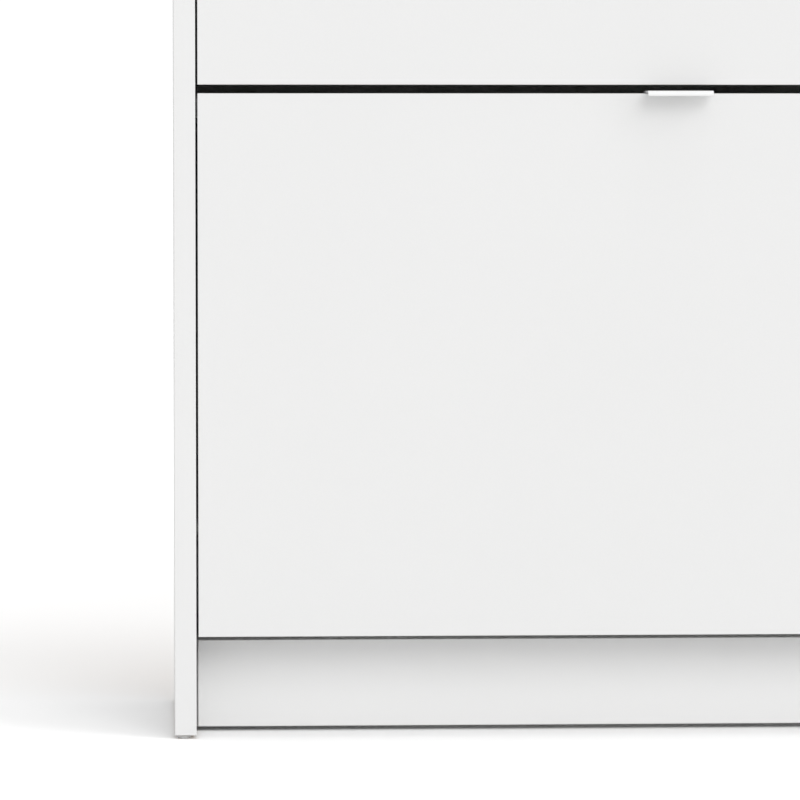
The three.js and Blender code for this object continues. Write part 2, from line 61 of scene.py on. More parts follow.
# Light: how brightly the white surround lights the scene and how it looks behind the cabinet,
# then the name, azimuth, elevation, spread and strength of each soft lamp
WORLD_STRENGTH = 0.865
WORLD_SEEN = 1.1
SUNS = (
    ("front_lamp", 16, 30, 30, 0.68),
    ("side_lamp", 60, 11, 30, 0.68),
    ("key_lamp", 54, 40, 26, 0.42),
    ("top_lamp", 40, 80, 20, 0.30),
)

# CAD meshes and boards: points closer than WELD are one, faces within FLAT_ANGLE are one, and edges
# are rounded from SHARP_ANGLE and from the shortest length on
WELD = 0.002 * MM
FLAT_ANGLE = math.radians(0.5)
SHARP_ANGLE = math.radians(30)
BOARD_ROUND = 0.5 * MM
THIN_ROUND = 0.35 * MM
BOARD_SHORTEST_ROUNDED = 8 * MM
SQUARE_ENOUGH = 0.99  # share of its normal along one axis that puts a face on a side of the board
ON_THE_SIDE = 0.05 * MM  # and how close to that side it has to be
FOIL_SIDE, BAND_SIDE, RAW_SIDE = 0, 1, 2  # a board's materials
WHITE_SIDE, BARE_SIDE = 0, 1  # a thin board's materials
CUT_FACE_SHARE = 0.05  # a thin board's faces below this share of the largest are cut edges

# Faces that meet at more than these angles, in degrees, show a hard line between them
BOARD_HARD_ANGLE = 35
CURVED_HARD_ANGLE = 40
PIN_HARD_ANGLE = 30

# Rack sides, in millimetres from the pivot: first value back, second up
PLATE_INNER = 325.0
PLATE = 3.0
RIM = 3.0
RIM_DEPTH = 2.5
RIB = 1.6
RIB_DEPTH = 1.5
ROOT = 0.5  # how far rims, ribs and channels are sunk into the plate
CHANNEL_DEPTH = 6.0
CHANNEL_WALL = 2.0
SHELF_BOARD = 3.0
TOUCH_GAP = 0.3
DOOR_SIDE = -6.7
RACK_FOOT = -64.0
RACK_TOP = 256
RACK_CORNERS = (  # start, control point and end of each rounded corner
    ((92, RACK_FOOT), (103, RACK_FOOT), (108.5, -54.5)),
    ((197.5, 99.5), (203, 109), (199.4, 118.3)),
    ((158.6, 220.7), (155, 230), (145.5, 227)),
)
MOUTH_DIP = (70, 204)  # control point of the sagging edge over the two mouths
FLANGE_TOP = 254.0
FLANGE_INNER = 305.0
FLANGE_CORNERS = (4, 0.8)  # radius at the free edge and at the plate
FLANGE_SCREW_X = 314.0
FLANGE_SCREWS = (-25.0, 215.0)
FLANGE_HOLE = 2.0
GUSSET_HEIGHTS = (-45, -5, 30, 75, 135, 175, 240)
GUSSET_HALF = 0.8
GUSSET_REACH = 9  # inwards along the flange
GUSSET_BACK = 4  # how far back it runs on the plate
GUSSET_ROOT = 0.3
BOSS_RADIUS = 10.0
BOSS_FACES = (322.5, 331.5)
BORE_RADIUS = 4.2
PIN_NOTCH = 3.0  # half height of the notches for the pin in the flange and the rim
PEG_ORBIT = 62.0
PEG_SLOT_HALF = 4.4
PEG_SLOT_ARC = (math.radians(9.8), math.radians(60.2))
LEAN = math.radians(60)
SHELVES = {  # start, rise and length
    "front_shelf": (-3.4, 105, 0, 78.4),
    "front_divider": (78.5, 104, LEAN, 134),
    "rear_shelf": (-3.4, -55, 0, 98.4),
    "rear_divider": (98.5, -56, LEAN, 190),
}
WINDOWS = (  # middle, turn in degrees, length and width
    (48, 166, 75, 66, 42),
    (112, 20, 60, 76, 36),
    (135, 135, 60, 70, 40),
)
WINDOW_CORNER = 9.0
RACK_WELD = 0.001 * MM

# Pivot bushes and stop pegs, in millimetres: radii, and distances from the cabinet's middle
PIN_RADIUS = 4.0
PIN_END = 322.5
PLUG_START = 334.7
PLUG_END = 346
PLUG_CHAMFER = 0.8
BUSH_FLANGE_RADIUS = 6.4
BUSH_FLANGE_FACE = 332.0
BUSH_PLUG_RADIUS = 5.0
BUSH_GROOVE = (336.0, 336.4, 336.8)
BUSH_GROOVE_RADIUS = 4.7
BUSH_DIMPLE = ((0, 323.3), (1.2, 323.3), (1.6, PIN_END))
PEG_SHOULDER_RADIUS = 4.4
PEG_SHOULDER_START = 330.6
PEG_FLANGE_RADIUS = 8.0
PEG_FLANGE_FACE = 331.0
PEG_PLUG_RADIUS = 2.5
PEG_CHAMFER = 0.6

# Glides and bumpers, in millimetres
GLIDE_RADIUS = 5.0
GLIDE_SHOULDER = 1.5
GLIDE_HEAD = 2.2
GLIDE_RING = ((0, 0.25), (1.8, 0.25), (2.1, 0))
GLIDE_PLUG = ((2.0, 2.2), (2.0, 11.6), (1.4, 12.2), (0, 12.2))
BUMPER_RADIUS = 4.5
BUMPER_SKIRT = 0.6
DOME_STEPS = 10

# Screws, in millimetres: radius and height of the head, radius and length of the shank
SCREWS = {
    "rack": (3.75, 2.0, 1.7, 14.5),
    "handle": (3.25, 1.8, 1.5, 11),
    "bracket": (4.0, 1.8, 1.75, 12),
}
THREAD_PITCH = 1.25  # its shape is given in shares of this and of the shank's radius
THREAD_CORE = 0.72  # of the shank's radius
SCREW_STEPS = 40

# Edge pulls, in millimetres
HANDLE_SHEET = 1.5
HANDLE_LIP = 3.75
HANDLE_LEG = 21.8
HANDLE_BEND_OUTER = 2.3
HANDLE_BEND_INNER = 0.8
HANDLE_CORNER = 0.6
HANDLE_RIM_ROUND = 0.25
HANDLE_RIM_ANGLE = math.radians(60)

BRACKET_ROUND = 0.3 * MM
BRACKET_SHORTEST_ROUNDED = 3 * MM

FLOOR_RADIUS = 60
CAMERA_SEES_TO = 200

# Noise nodes mostly give values between these two
NOISE_LOW = 0.3
NOISE_HIGH = 0.7

# White of the boards, and how much lighter the plinth's foil is made: painted light, since the plinth is the same
# board and is lightened only to brighten its shade under the doors
WHITE = (0.636, 0.636, 0.634)
PLINTH_PAINTED_LIGHT = 1.14


# ---------------------------------------------------------------- materials

def add_node(tree, kind, inputs=None, **settings):
    node = tree.nodes.new(kind)
    for key, value in settings.items():
        setattr(node, key, value)
    for key, value in (inputs or {}).items():
        if isinstance(value, bpy.types.NodeSocket):
            tree.links.new(value, node.inputs[key])
        else:
            node.inputs[key].default_value = value
    return node


def mapping(tree, stretch):
    point = add_node(tree, "ShaderNodeTexCoord").outputs["Object"]
    return add_node(tree, "ShaderNodeMapping", {"Vector": point, "Scale": stretch})


def noise(tree, scale, detail=2.0, rough=0.5, stretch=(1, 1, 1), distort=0.0):
    """Noise in the piece's own coordinates, so it moves with the piece."""
    mapped = mapping(tree, stretch)
    made = add_node(tree, "ShaderNodeTexNoise", {
        "Vector": mapped.outputs["Vector"], "Scale": scale, "Detail": detail,
        "Roughness": rough, "Distortion": distort})
    return made.outputs["Fac"]


def chips(tree, scale, stretch):
    """Cells in the piece's own coordinates, each with a colour of its own."""
    mapped = mapping(tree, stretch)
    return add_node(tree, "ShaderNodeTexVoronoi", {"Vector": mapped.outputs["Vector"], "Scale": scale})


def blend_colours(tree, factor, low, high):
    """A colour between low and high, for a noise's usual range."""
    ramp = add_node(tree, "ShaderNodeValToRGB", {"Fac": factor})
    first, last = ramp.color_ramp.elements
    first.position, last.position = NOISE_LOW, NOISE_HIGH
    first.color, last.color = (*low, 1), (*high, 1)
    return ramp.outputs["Color"]


def spread(tree, factor, low, high):
    """A number between low and high, for a noise's usual range."""
    made = add_node(tree, "ShaderNodeMapRange", {
        "Value": factor, "From Min": NOISE_LOW, "From Max": NOISE_HIGH, "To Min": low, "To Max": high})
    return made.outputs["Result"]


def multiply(tree, first, second):
    mix = add_node(tree, "ShaderNodeMix", {"Factor": 1.0}, data_type="RGBA", blend_type="MULTIPLY")
    colour_a, colour_b = (socket for socket in mix.inputs if socket.type == "RGBA")
    tree.links.new(first, colour_a)
    tree.links.new(second, colour_b)
    return next(socket for socket in mix.outputs if socket.type == "RGBA")


def bump(tree, height, distance, strength=1.0, below=None):
    inputs = {"Height": height, "Distance": distance, "Strength": strength}
    if below is not None:
        inputs["Normal"] = below
    return add_node(tree, "ShaderNodeBump", inputs).outputs["Normal"]


def new_material(name, **sockets):
    """A material, its node tree and its shader. A socket's name is given with _ for each space."""
    material = bpy.data.materials.new(name)
    material.use_nodes = True
    shader = material.node_tree.nodes["Principled BSDF"]
    for key, value in sockets.items():
        shader.inputs[key.replace("_", " ")].default_value = value
    return material, material.node_tree, shader


def connect(tree, shader, colour=None, roughness=None, normal=None):
    if colour is not None:
        tree.links.new(colour, shader.inputs["Base Color"])
    if roughness is not None:
        tree.links.new(roughness, shader.inputs["Roughness"])
    if normal is not None:
        tree.links.new(normal, shader.inputs["Normal"])


def shade(colour, factor):
    return tuple(channel * factor for channel in colour)


def melamine(name, white):
    """Satin white foil with a fine pearl emboss and faint handling marks in its gloss."""
    material, tree, shader = new_material(name)
    tone = blend_colours(tree, noise(tree, 5, detail=3), shade(white, 0.994), shade(white, 1.004))
    speck = blend_colours(tree, noise(tree, 1500, detail=1), (0.985, 0.985, 0.985), (1, 1, 1))
    gloss = spread(tree, noise(tree, 18, detail=4, rough=0.6), 0.40, 0.47)
    pearl = bump(tree, noise(tree, 1300, detail=2, rough=0.55), 0.02 * MM, 0.5)
    wave = bump(tree, noise(tree, 14, detail=2), 0.05 * MM, 0.35, below=pearl)
    connect(tree, shader, multiply(tree, tone, speck), gloss, wave)
    return material


def edge_band():
    """Plastic edge band: a shade smoother than the foil, with fine drawn lines along it."""
    material, tree, shader = new_material("white_edge_band")
    tone = blend_colours(tree, noise(tree, 9, detail=3), shade(WHITE, 0.992), shade(WHITE, 1.004))
    gloss = spread(tree, noise(tree, 30, detail=3), 0.34, 0.42)
    lines = bump(tree, noise(tree, 900, detail=2, stretch=(1, 1, 0.04)), 0.01 * MM, 0.4)
    connect(tree, shader, tone, gloss, lines)
    return material


def particle_board():
    """Cut particle board: pressed chips of several browns with open pores between them."""
    material, tree, shader = new_material("raw_particle_board")
    cells = chips(tree, 620, stretch=(1, 1, 1.6))
    tint = blend_colours(tree, cells.outputs["Color"], (0.30, 0.205, 0.12), (0.56, 0.43, 0.29))
    dirt = blend_colours(tree, noise(tree, 420, detail=5, rough=0.7), (0.62, 0.58, 0.52), (1, 1, 1))
    gloss = spread(tree, noise(tree, 60), 0.78, 0.92)
    pores = bump(tree, cells.outputs["Distance"], 0.35 * MM, 0.8)
    torn = bump(tree, noise(tree, 1600, detail=4, rough=0.7), 0.15 * MM, 0.8, below=pores)
    connect(tree, shader, multiply(tree, tint, dirt), gloss, torn)
    return material


def hardboard_brown():
    """Bare hardboard: pressed fibre, in soft brown flecks."""
    material, tree, shader = new_material("bare_hardboard")
    flecks = noise(tree, 240, detail=6, rough=0.7, stretch=(1, 1, 2.2), distort=0.6)
    tint = blend_colours(tree, flecks, (0.30, 0.19, 0.105), (0.44, 0.30, 0.18))
    cloud = blend_colours(tree, noise(tree, 7, detail=4), (0.90, 0.89, 0.87), (1, 1, 1))
    gloss = spread(tree, flecks, 0.58, 0.76)
    fibre = bump(tree, noise(tree, 900, detail=5, rough=0.7, stretch=(1, 1, 2.5)), 0.06 * MM, 0.8)
    connect(tree, shader, multiply(tree, tint, cloud), gloss, fibre)
    return material


def hardboard_white():
    """Lacquered face of thin hardboard, with the fibre just showing through."""
    material, tree, shader = new_material("white_lacquered_hardboard")
    tone = blend_colours(tree, noise(tree, 12, detail=4), (0.70, 0.70, 0.69), (0.745, 0.745, 0.735))
    gloss = spread(tree, noise(tree, 50, detail=3), 0.46, 0.58)
    fibre = bump(tree, noise(tree, 700, detail=5, rough=0.65, stretch=(1, 1, 1.8)), 0.03 * MM, 0.7)
    connect(tree, shader, tone, gloss, fibre)
    return material


def moulded(name, colour, rough_low, rough_high):
    """Injection moulded plastic with a fine spark-eroded grain and faint flow marks."""
    material, tree, shader = new_material(name, Subsurface_Weight=0.04, Subsurface_Scale=1.5 * MM)
    flow = noise(tree, 22, detail=3, stretch=(1, 1, 0.5), distort=0.4)
    tone = blend_colours(tree, flow, shade(colour, 0.975), shade(colour, 1.01))
    gloss = spread(tree, noise(tree, 240, detail=3), rough_low, rough_high)
    grain = bump(tree, noise(tree, 2600, detail=3, rough=0.6), 0.03 * MM, 0.6)
    connect(tree, shader, tone, gloss, grain)
    return material


def powder_coat():
    """White powder coat on steel sheet: satin, with orange peel."""
    material, tree, shader = new_material("white_powder_coat", Coat_Weight=0.15, Coat_Roughness=0.2)
    tone = blend_colours(tree, noise(tree, 60), (0.665, 0.665, 0.665), (0.685, 0.685, 0.683))
    gloss = spread(tree, noise(tree, 150, detail=3), 0.30, 0.40)
    peel = bump(tree, noise(tree, 1500, rough=0.45), 0.025 * MM, 0.6)
    connect(tree, shader, tone, gloss, peel)
    return material


def zinc():
    """Bright zinc plate, a little cloudy, with a trace of yellow passivation."""
    material, tree, shader = new_material("zinc_plate", Metallic=1.0)
    cloud = noise(tree, 320, detail=4, rough=0.6)
    tone = blend_colours(tree, cloud, (0.60, 0.61, 0.62), (0.74, 0.73, 0.70))
    gloss = spread(tree, noise(tree, 900, detail=4, rough=0.6), 0.24, 0.40)
    scratch = bump(tree, noise(tree, 1200, detail=3, rough=0.6, stretch=(0.2, 1, 1)), 0.012 * MM, 0.6)
    connect(tree, shader, tone, gloss, scratch)
    return material


def soft_rubber():
    """Clear soft bumper, slightly milky."""
    material, tree, shader = new_material("clear_rubber", Transmission_Weight=0.55, IOR=1.45)
    tone = blend_colours(tree, noise(tree, 300), (0.80, 0.81, 0.81), (0.88, 0.88, 0.87))
    gloss = spread(tree, noise(tree, 500, detail=3), 0.16, 0.30)
    skin = bump(tree, noise(tree, 1800), 0.01 * MM, 0.5)
    connect(tree, shader, tone, gloss, skin)
    return material


def floor_paint():
    """Matt white floor, very slightly uneven."""
    material, tree, shader = new_material("studio_floor", Specular_IOR_Level=0.0)
    tone = blend_colours(tree, noise(tree, 0.6), (0.945, 0.945, 0.945), (0.955, 0.955, 0.955))
    connect(tree, shader, tone, spread(tree, noise(tree, 3), 0.86, 0.94))
    return material


FOIL = melamine("white_melamine", WHITE)
# The plinth's lightened foil is painted light: a lit copy of the same white foil that brightens the plinth's shade
# under the doors
PLINTH_PAINTED_LIGHT_FOIL = melamine("white_plinth_foil_painted_light", shade(WHITE, PLINTH_PAINTED_LIGHT))
BAND = edge_band()
RAW = particle_board()
BROWN = hardboard_brown()
LACQUER = hardboard_white()
PLASTIC = moulded("white_plastic_mould", (0.74, 0.74, 0.73), 0.42, 0.56)
GREY_PLASTIC = moulded("grey_plastic_mould", (0.50, 0.505, 0.51), 0.40, 0.55)
COAT = powder_coat()
ZINC = zinc()
RUBBER = soft_rubber()


# ---------------------------------------------------------------- mesh helpers

def new_piece(name, mesh, node, materials=()):
    """Shows the mesh in place of its CAD node, riding on the node's own body."""
    piece = bpy.data.objects.new(name, mesh)
    bpy.context.scene.collection.objects.link(piece)
    for material in materials:
        mesh.materials.append(material)
    for body, members in frame["record"]["behaviour"]["bodies"].items():
        if node in members:
            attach(piece, body)
    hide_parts(node)
    return piece


def smooth(mesh, angle):
    """Smooth shading, with a hard line wherever two faces meet at more than the angle."""
    mesh.shade_smooth()
    mesh.set_sharp_from_angle(angle=math.radians(angle))


def welded(node):
    """The CAD node's mesh with its doubled points joined and its flat faces made whole."""
    bm = bmesh.new()
    bm.from_mesh(frame["nodes"][node].data)
    bmesh.ops.remove_doubles(bm, verts=bm.verts, dist=WELD)
    bmesh.ops.dissolve_limit(bm, angle_limit=FLAT_ANGLE, verts=bm.verts, edges=bm.edges)
    bm.normal_update()
    return bm


def round_edges(bm, width, segments, shortest, material=-1):
    """Rounds the sharp edges that are long enough; -1 keeps the material of the faces beside them."""
    sharp = [edge for edge in bm.edges
             if len(edge.link_faces) == 2
             and edge.calc_length() >= shortest
             and edge.calc_face_angle(0) > SHARP_ANGLE]
    bmesh.ops.bevel(bm, geom=sharp, offset=width, offset_type="OFFSET", segments=segments,
                    profile=0.5, affect="EDGES", clamp_overlap=False, material=material)


def finish_mesh(bm, name, angle=BOARD_HARD_ANGLE):
    mesh = bpy.data.meshes.new(name)
    bm.to_mesh(mesh)
    bm.free()
    smooth(mesh, angle)
    return mesh


def weighted(piece):
    """Keeps the flats flat where they run into rounded edges."""
    modifier = piece.modifiers.new("flats", "WEIGHTED_NORMAL")
    modifier.keep_sharp = True


def face_side(face, low, high):
    """The side of the board, such as "+Y", that the face lies on, or None inside a hole or notch."""
    axis = max(range(3), key=lambda i: abs(face.normal[i]))
    if abs(face.normal[axis]) < SQUARE_ENOUGH:
        return None
    positive = face.normal[axis] > 0
    edge = high[axis] if positive else low[axis]
    if abs(face.calc_center_median()[axis] - edge) > ON_THE_SIDE:
        return None
    return ("+" if positive else "-") + "XYZ"[axis]


def board(node, thin, raw=(), foil=FOIL, inside=RAW_SIDE):
    """Furniture board, thin along one axis: foil on both faces, edge band round it, and bare chips
    on the raw edges and, unless told otherwise, inside its holes."""
    low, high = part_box(node)
    bm = welded(node)
    for face in bm.faces:
        side = face_side(face, low, high)
        if side is None:
            face.material_index = inside
        elif side in raw:
            face.material_index = RAW_SIDE
        elif side[1] == thin:
            face.material_index = FOIL_SIDE
        else:
            face.material_index = BAND_SIDE
    round_edges(bm, BOARD_ROUND, 4, BOARD_SHORTEST_ROUNDED, BAND_SIDE)
    mesh = finish_mesh(bm, node + "_board")
    weighted(new_piece(node + "_board", mesh, node, (foil, BAND, RAW)))


def thin_board(node, brown_sides=()):
    """Three millimetre hardboard: white faces, bare brown edges and brown on any sides named."""
    low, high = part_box(node)
    bm = welded(node)
    largest = max(face.calc_area() for face in bm.faces)
    for face in bm.faces:
        cut = face.calc_area() < CUT_FACE_SHARE * largest
        brown = cut or face_side(face, low, high) in brown_sides
        face.material_index = BARE_SIDE if brown else WHITE_SIDE
    round_edges(bm, THIN_ROUND, 2, BOARD_SHORTEST_ROUNDED, BARE_SIDE)
    mesh = finish_mesh(bm, node + "_sheet")
    weighted(new_piece(node + "_sheet", mesh, node, (LACQUER, BROWN)))


def revolve(profile, steps=64):
    """A closed mesh turned about X from (radius, x) pairs in millimetres, from axis to axis."""
    bm = bmesh.new()
    turns = [2 * math.pi * i / steps for i in range(steps)]
    rings = []
    for radius, x in profile:
        angles = turns if radius else turns[:1]
        rings.append([bm.verts.new((x * MM, radius * MM * math.cos(a), radius * MM * math.sin(a)))
                      for a in angles])
    for before, after in zip(rings, rings[1:]):
        for i in range(steps):
            j = (i + 1) % steps
            loop = [before[i % len(before)], before[j % len(before)],
                    after[j % len(after)], after[i % len(after)]]
            bm.faces.new(list(dict.fromkeys(loop)))
    bmesh.ops.recalc_face_normals(bm, faces=bm.faces)
    return bm


def arc(centre, radius, start, end, steps):
    """Points on an arc, in degrees, ends included."""
    angles = [math.radians(start + (end - start) * i / steps) for i in range(steps + 1)]
    return [(centre[0] + radius * math.cos(a), centre[1] + radius * math.sin(a)) for a in angles]


def place(bm, matrix):
    """Moves the mesh, keeping its faces outwards if the matrix mirrors it."""
    bmesh.ops.transform(bm, matrix=matrix, verts=bm.verts)
    if matrix.determinant() < 0:
        bmesh.ops.reverse_faces(bm, faces=bm.faces)


def sideways(side, centre, offset_mm=(0, 0, 0)):
    """Moves right-hand work to its place beside the centre, mirrored for the left."""
    mirror = -1 if side == "left" else 1
    return Matrix.Diagonal((mirror, 1, 1, 1)) @ Matrix.Translation(Vector(offset_mm) * MM + centre)


def pivot(row):
    """The joint's own point, in metres."""
    for joint in frame["joints"]:
        if joint["child"] == row + "_flap":
            return Vector(joint["pos_m"])


# ---------------------------------------------------------------- fittings

def rounded_end(radius, start, reach, steps=4):
    """Profile points for a rounded shoulder from radius - reach up to radius."""
    angles = [math.pi / 2 * i / steps for i in range(steps + 1)]
    return [(radius - reach + reach * math.sin(a), start + reach * (1 - math.cos(a))) for a in angles]


def bush_profile():
    """Dimpled pin, flange, and a plug with one groove."""
    pin = [*BUSH_DIMPLE] + rounded_end(PIN_RADIUS, PIN_END, 0.6)
    flange = [(PIN_RADIUS, BUSH_FLANGE_FACE)] + rounded_end(BUSH_FLANGE_RADIUS, BUSH_FLANGE_FACE, 0.7)
    groove_radii = (BUSH_PLUG_RADIUS, BUSH_GROOVE_RADIUS, BUSH_PLUG_RADIUS)
    return pin + flange + [
        (BUSH_FLANGE_RADIUS, PLUG_START), (BUSH_PLUG_RADIUS, PLUG_START), *zip(groove_radii, BUSH_GROOVE),
        (BUSH_PLUG_RADIUS, PLUG_END - PLUG_CHAMFER), (BUSH_PLUG_RADIUS - PLUG_CHAMFER, PLUG_END),
        (0, PLUG_END)]


def peg_profile():
    """Pin with a small shoulder, flange and plug."""
    pin = [(0, PIN_END)] + rounded_end(PIN_RADIUS, PIN_END, 0.8)
    shoulder = [(PIN_RADIUS, PEG_SHOULDER_START), (PEG_SHOULDER_RADIUS, PEG_FLANGE_FACE)]
    return pin + shoulder + rounded_end(PEG_FLANGE_RADIUS, PEG_FLANGE_FACE, 0.9) + [
        (PEG_FLANGE_RADIUS, PLUG_START), (PEG_PLUG_RADIUS, PLUG_START),
        (PEG_PLUG_RADIUS, PLUG_END - PEG_CHAMFER), (PEG_PLUG_RADIUS - PEG_CHAMFER, PLUG_END),
        (0, PLUG_END)]


def add_pins():
    peg_place = (0, PEG_ORBIT * math.cos(LEAN), PEG_ORBIT * math.sin(LEAN))
    kinds = (("pivot_bush", bush_profile(), (0, 0, 0)), ("stop_peg", peg_profile(), peg_place))
    for row in ROWS:
        for side in SIDES:
            for kind, profile, from_pivot in kinds:
                node = f"{kind}_{row}_{side}"
                bm = revolve(profile)
                place(bm, sideways(side, pivot(row), from_pivot))
                mesh = finish_mesh(bm, node + "_turned", PIN_HARD_ANGLE)
                new_piece(node + "_turned", mesh, node, (PLASTIC,))


def add_glides():
    """Round feet with a soft lower edge and a shallow ring, each pushed into the panel's edge."""
    upright = Matrix.Rotation(math.radians(-90), 4, "Y")
    foot = [*GLIDE_RING] + rounded_end(GLIDE_RADIUS, 0, GLIDE_SHOULDER, steps=8)
    profile = foot + [(GLIDE_RADIUS, GLIDE_HEAD), *GLIDE_PLUG]
    for end in ("front", "rear"):
        for side in SIDES:
            node = f"glide_{end}_{side}"
            low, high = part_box(node)
            bm = revolve(profile)
            under = ((low[0] + high[0]) / 2, (low[1] + high[1]) / 2, low[2])
            place(bm, Matrix.Translation(under) @ upright)
            mesh = finish_mesh(bm, node + "_foot", CURVED_HARD_ANGLE)
            new_piece(node + "_foot", mesh, node, (GREY_PLASTIC,))


def add_bumpers():
    """Soft domes stuck to the door's back."""
    turn = Matrix.Rotation(math.radians(90), 4, "Z")
    angles = [math.pi / 2 * i / DOME_STEPS for i in range(DOME_STEPS)]
    for row in ROWS:
        for side in SIDES:
            node = f"{row}_bumper_{side}"
            low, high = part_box(node)
            rise = (high[1] - low[1]) / MM
            dome = [(BUMPER_RADIUS * math.cos(a), BUMPER_SKIRT + (rise - BUMPER_SKIRT) * math.sin(a))
                    for a in angles]
            bm = revolve([(0, 0), (BUMPER_RADIUS, 0)] + dome + [(0, rise)])
            middle = ((low[0] + high[0]) / 2, low[1], (low[2] + high[2]) / 2)
            place(bm, Matrix.Translation(middle) @ turn)
            mesh = finish_mesh(bm, node + "_dome", CURVED_HARD_ANGLE)
            new_piece(node + "_dome", mesh, node, (RUBBER,))


def thread_profile(shank, length):
    """Point and rolled thread. The first turns are thinner, towards the point."""
    profile = [(0, -length), (shank * 0.25, -length + shank * 0.4)]
    core = shank * THREAD_CORE
    for i in range(int((length - 2.4 * shank) / THREAD_PITCH)):
        x = -length + 1.6 * shank + i * THREAD_PITCH
        taper = min(1.0, 0.55 + 0.15 * i)
        profile += [(core * taper, x), (shank * taper, x + THREAD_PITCH * 0.42),
                    (core * taper, x + THREAD_PITCH * 0.84)]
    return profile


def cross_recess(head, head_height):
    """Two tapered blades, square to each other, that cut the cross into a screw's head."""
    cutter = bmesh.new()
    blade = Matrix.Diagonal((1, 1, 0.26, 1)) @ Matrix.Rotation(math.radians(90), 4, "Y")
    sink = Matrix.Translation((head_height * 0.75 * MM, 0, 0))
    for turn in (0, 90):
        made = bmesh.ops.create_cone(
            cutter, cap_ends=True, segments=4, radius1=head * 0.12 * MM, radius2=head * 0.62 * MM,
            depth=head_height * MM)
        shape = Matrix.Rotation(math.radians(turn), 4, "X") @ sink @ blade
        bmesh.ops.transform(cutter, matrix=shape, verts=made["verts"])
    mesh = bpy.data.meshes.new("screw_recess")
    cutter.to_mesh(mesh)
    cutter.free()
    return mesh


def screw_mesh(head, head_height, shank, length):
    """Pan-head screw along X: head above 0, rolled thread below, cross recess in the head."""
    neck = [(shank * 0.8, -0.4), (shank * 0.95, 0), (head - 0.15, 0), (head, 0.15)]
    dome = [(head * math.cos(a), head_height * (0.35 + 0.65 * math.sin(a)))
            for a in (math.pi / 2 * i / 8 for i in range(8))]
    profile = thread_profile(shank, length) + neck + dome + [(0, head_height)]
    body = finish_mesh(revolve(profile, SCREW_STEPS), "screw_body", CURVED_HARD_ANGLE)
    return carved(body, cross_recess(head, head_height))


def carved(body_mesh, tool_mesh):
    """The body less the tool, as a new mesh."""
    body = bpy.data.objects.new("carve_body", body_mesh)
    tool = bpy.data.objects.new("carve_tool", tool_mesh)
    for item in (body, tool):
        bpy.context.scene.collection.objects.link(item)
    cut = body.modifiers.new("cut", "BOOLEAN")
    cut.operation = "DIFFERENCE"
    cut.solver = "EXACT"
    cut.use_self = True
    cut.object = tool
    graph = bpy.context.evaluated_depsgraph_get()
    result = bpy.data.meshes.new_from_object(body.evaluated_get(graph))
    for item in (body, tool):
        bpy.data.objects.remove(item)
    smooth(result, CURVED_HARD_ANGLE)
    return result


def add_screws():
    kinds = {kind: screw_mesh(*sizes) for kind, sizes in SCREWS.items()}
    backward = Matrix.Rotation(math.radians(90), 4, "Z")
    downward = Matrix.Rotation(math.radians(90), 4, "Y")
    for side in SIDES:
        add_screw(f"wall_bracket_screw_{side}", kinds["bracket"], downward, "low")
        for row in ROWS:
            add_screw(f"{row}_handle_screw_{side}", kinds["handle"], backward, "high")
            for level in ("low", "high"):
                add_screw(f"{row}_rack_screw_{level}_{side}", kinds["rack"], backward, "high")


def add_screw(node, mesh, turn, head_end):
    """Seats a copy of the screw so that its head fills the head end of the node's box."""
    low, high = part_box(node)
    direction = turn @ Vector((1, 0, 0))
    axis = max(range(3), key=lambda i: abs(direction[i]))
    seat = [(low[i] + high[i]) / 2 for i in range(3)]
    copy = mesh.copy()
    head_height = max(vertex.co.x for vertex in mesh.vertices)
    seat[axis] = high[axis] - head_height if head_end == "high" else low[axis] + head_height
    copy.transform(Matrix.Translation(seat) @ turn)
    new_piece(node + "_cross_head", copy, node, (ZINC,))


def add_brackets():
    for side in SIDES:
        node = f"wall_bracket_{side}"
        bm = welded(node)
        round_edges(bm, BRACKET_ROUND, 2, BRACKET_SHORTEST_ROUNDED)
        mesh = finish_mesh(bm, node + "_angle")
        weighted(new_piece(node + "_angle", mesh, node, (ZINC,)))


# ---------------------------------------------------------------- handle

def fillet(points, steps=6):
    """Rounds each (y, z, radius) corner of a closed outline."""
    made = []
    count = len(points)
    for i, (y, z, radius) in enumerate(points):
        corner = Vector((y, z))
        if radius == 0:
            made.append(tuple(corner))
            continue
        before = (Vector(points[i - 1][:2]) - corner).normalized()
        after = (Vector(points[(i + 1) % count][:2]) - corner).normalized()
        half = before.angle(after) / 2
        reach = radius / math.tan(half)
        centre = corner + (before + after).normalized() * radius / math.sin(half)
        start = corner + before * reach - centre
        turn = start.angle_signed(corner + after * reach - centre)
        for k in range(steps + 1):
            made.append(tuple(centre + Matrix.Rotation(-turn * k / steps, 2) @ start))
    return made


